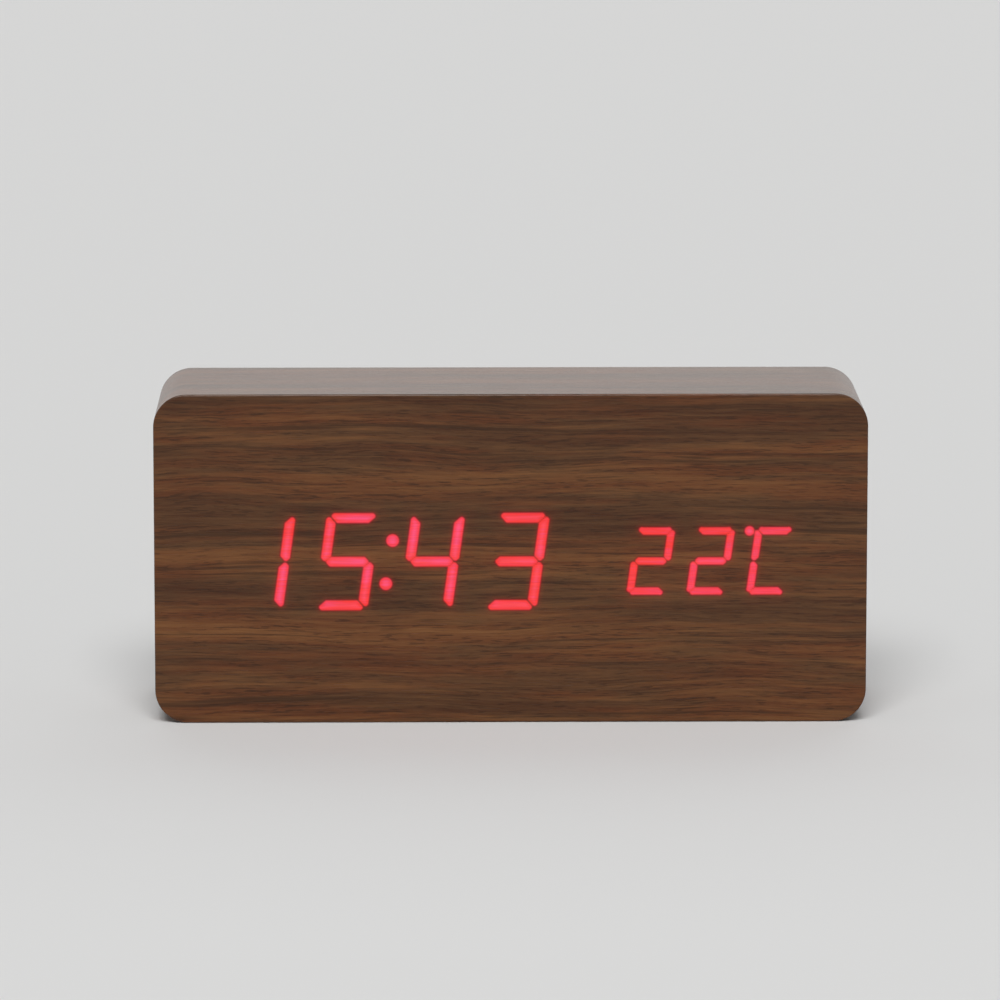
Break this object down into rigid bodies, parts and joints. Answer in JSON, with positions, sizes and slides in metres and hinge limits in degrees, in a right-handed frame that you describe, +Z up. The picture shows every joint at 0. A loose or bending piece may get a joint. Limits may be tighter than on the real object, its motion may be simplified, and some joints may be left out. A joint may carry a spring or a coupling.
{
  "type": "digital alarm clock",
  "caption": "Rounded rectangular wooden block clock with red digits that shine through the front, and a rear panel with buttons and battery door.",
  "frame": {"origin": "on the ground, under the middle of the casing", "axes": "+Z up, -Y out of the display, +X to the right of someone who reads the display"},
  "size_m": [0.15, 0.04, 0.07],
  "materials": {
    "walnut_foil": "walnut-look foil, satin",
    "fibreboard": "raw fibreboard",
    "black_plastic": "fine moulded texture",
    "clear_plastic": "tinted clear plastic",
    "circuit_board": "green solder mask",
    "chip_black": "moulded epoxy",
    "bright_metal": "nickel plated",
    "brass": "bright brass",
    "screw_steel": "dark zinc plated",
    "cell_label": "printed sleeve over a metal can",
    "coin_metal": "bright metal can",
    "white_plastic": "moulded nylon",
    "capacitor_sleeve": "shrunk sleeve",
    "red_wire": "PVC insulation",
    "black_wire": "PVC insulation",
    "grey_wire": "PVC sleeve"
  },
  "bodies": {
    "case": {"front_film": "walnut_foil", "side_wrap": "walnut_foil", "rear_film": "walnut_foil", "front_board": "fibreboard", "middle_frame": "fibreboard", "rear_board": "fibreboard", "display_shell": "black_plastic", "light_guide": "clear_plastic", "main_board": "circuit_board", "controller_chip": "chip_black", "clock_chip": "chip_black", "crystal": "bright_metal", "buzzer": "chip_black", "filter_capacitor": "capacitor_sleeve", "coin_cell_holder": "black_plastic", "coin_cell": "coin_metal", "battery_socket": "white_plastic", "control_socket": "white_plastic", "rear_panel": "black_plastic", "positive_terminal": "bright_metal", "bridge_contact_1": "bright_metal", "bridge_contact_2": "bright_metal", "bridge_contact_3": "bright_metal", "negative_terminal": "bright_metal", "control_board": "circuit_board", "power_jack": "black_plastic", "jack_pin": "brass", "microphone": "bright_metal", "thermistor": "chip_black", "battery_lead_red": "red_wire", "battery_lead_black": "black_wire", "control_cable": "grey_wire", "main_board_screw_1": "screw_steel", "panel_screw_1": "screw_steel", "aaa_cell_1": "cell_label", "main_board_screw_2": "screw_steel", "panel_screw_2": "screw_steel", "aaa_cell_2": "cell_label", "main_board_screw_3": "screw_steel", "panel_screw_3": "screw_steel", "aaa_cell_3": "cell_label", "main_board_screw_4": "screw_steel", "panel_screw_4": "screw_steel", "aaa_cell_4": "cell_label", "control_board_screw_1": "screw_steel", "control_board_screw_2": "screw_steel", "set_switch": "chip_black", "up_switch": "chip_black", "down_switch": "chip_black"},
    "set_button": {"set_button": "black_plastic", "set_plunger": "black_plastic"},
    "up_button": {"up_button": "black_plastic", "up_plunger": "black_plastic"},
    "down_button": {"down_button": "black_plastic", "down_plunger": "black_plastic"},
    "battery_door": {"battery_door": "black_plastic"}
  },
  "joints": [
    {"name": "set_button_press", "type": "slide", "parent": "case", "child": "set_button", "axis": [0, -1, 0], "range_m": [0, 0.0003], "stiffness_N_per_m": 1000},
    {"name": "up_button_press", "type": "slide", "parent": "case", "child": "up_button", "axis": [0, -1, 0], "range_m": [0, 0.0003], "stiffness_N_per_m": 1000},
    {"name": "down_button_press", "type": "slide", "parent": "case", "child": "down_button", "axis": [0, -1, 0], "range_m": [0, 0.0003], "stiffness_N_per_m": 1000},
    {"name": "battery_door_swing", "type": "hinge", "parent": "case", "child": "battery_door", "pos_m": [0.04615, 0.0185, 0.035], "axis": [0, 0, -1], "range_deg": [0, 75]}
  ]
}
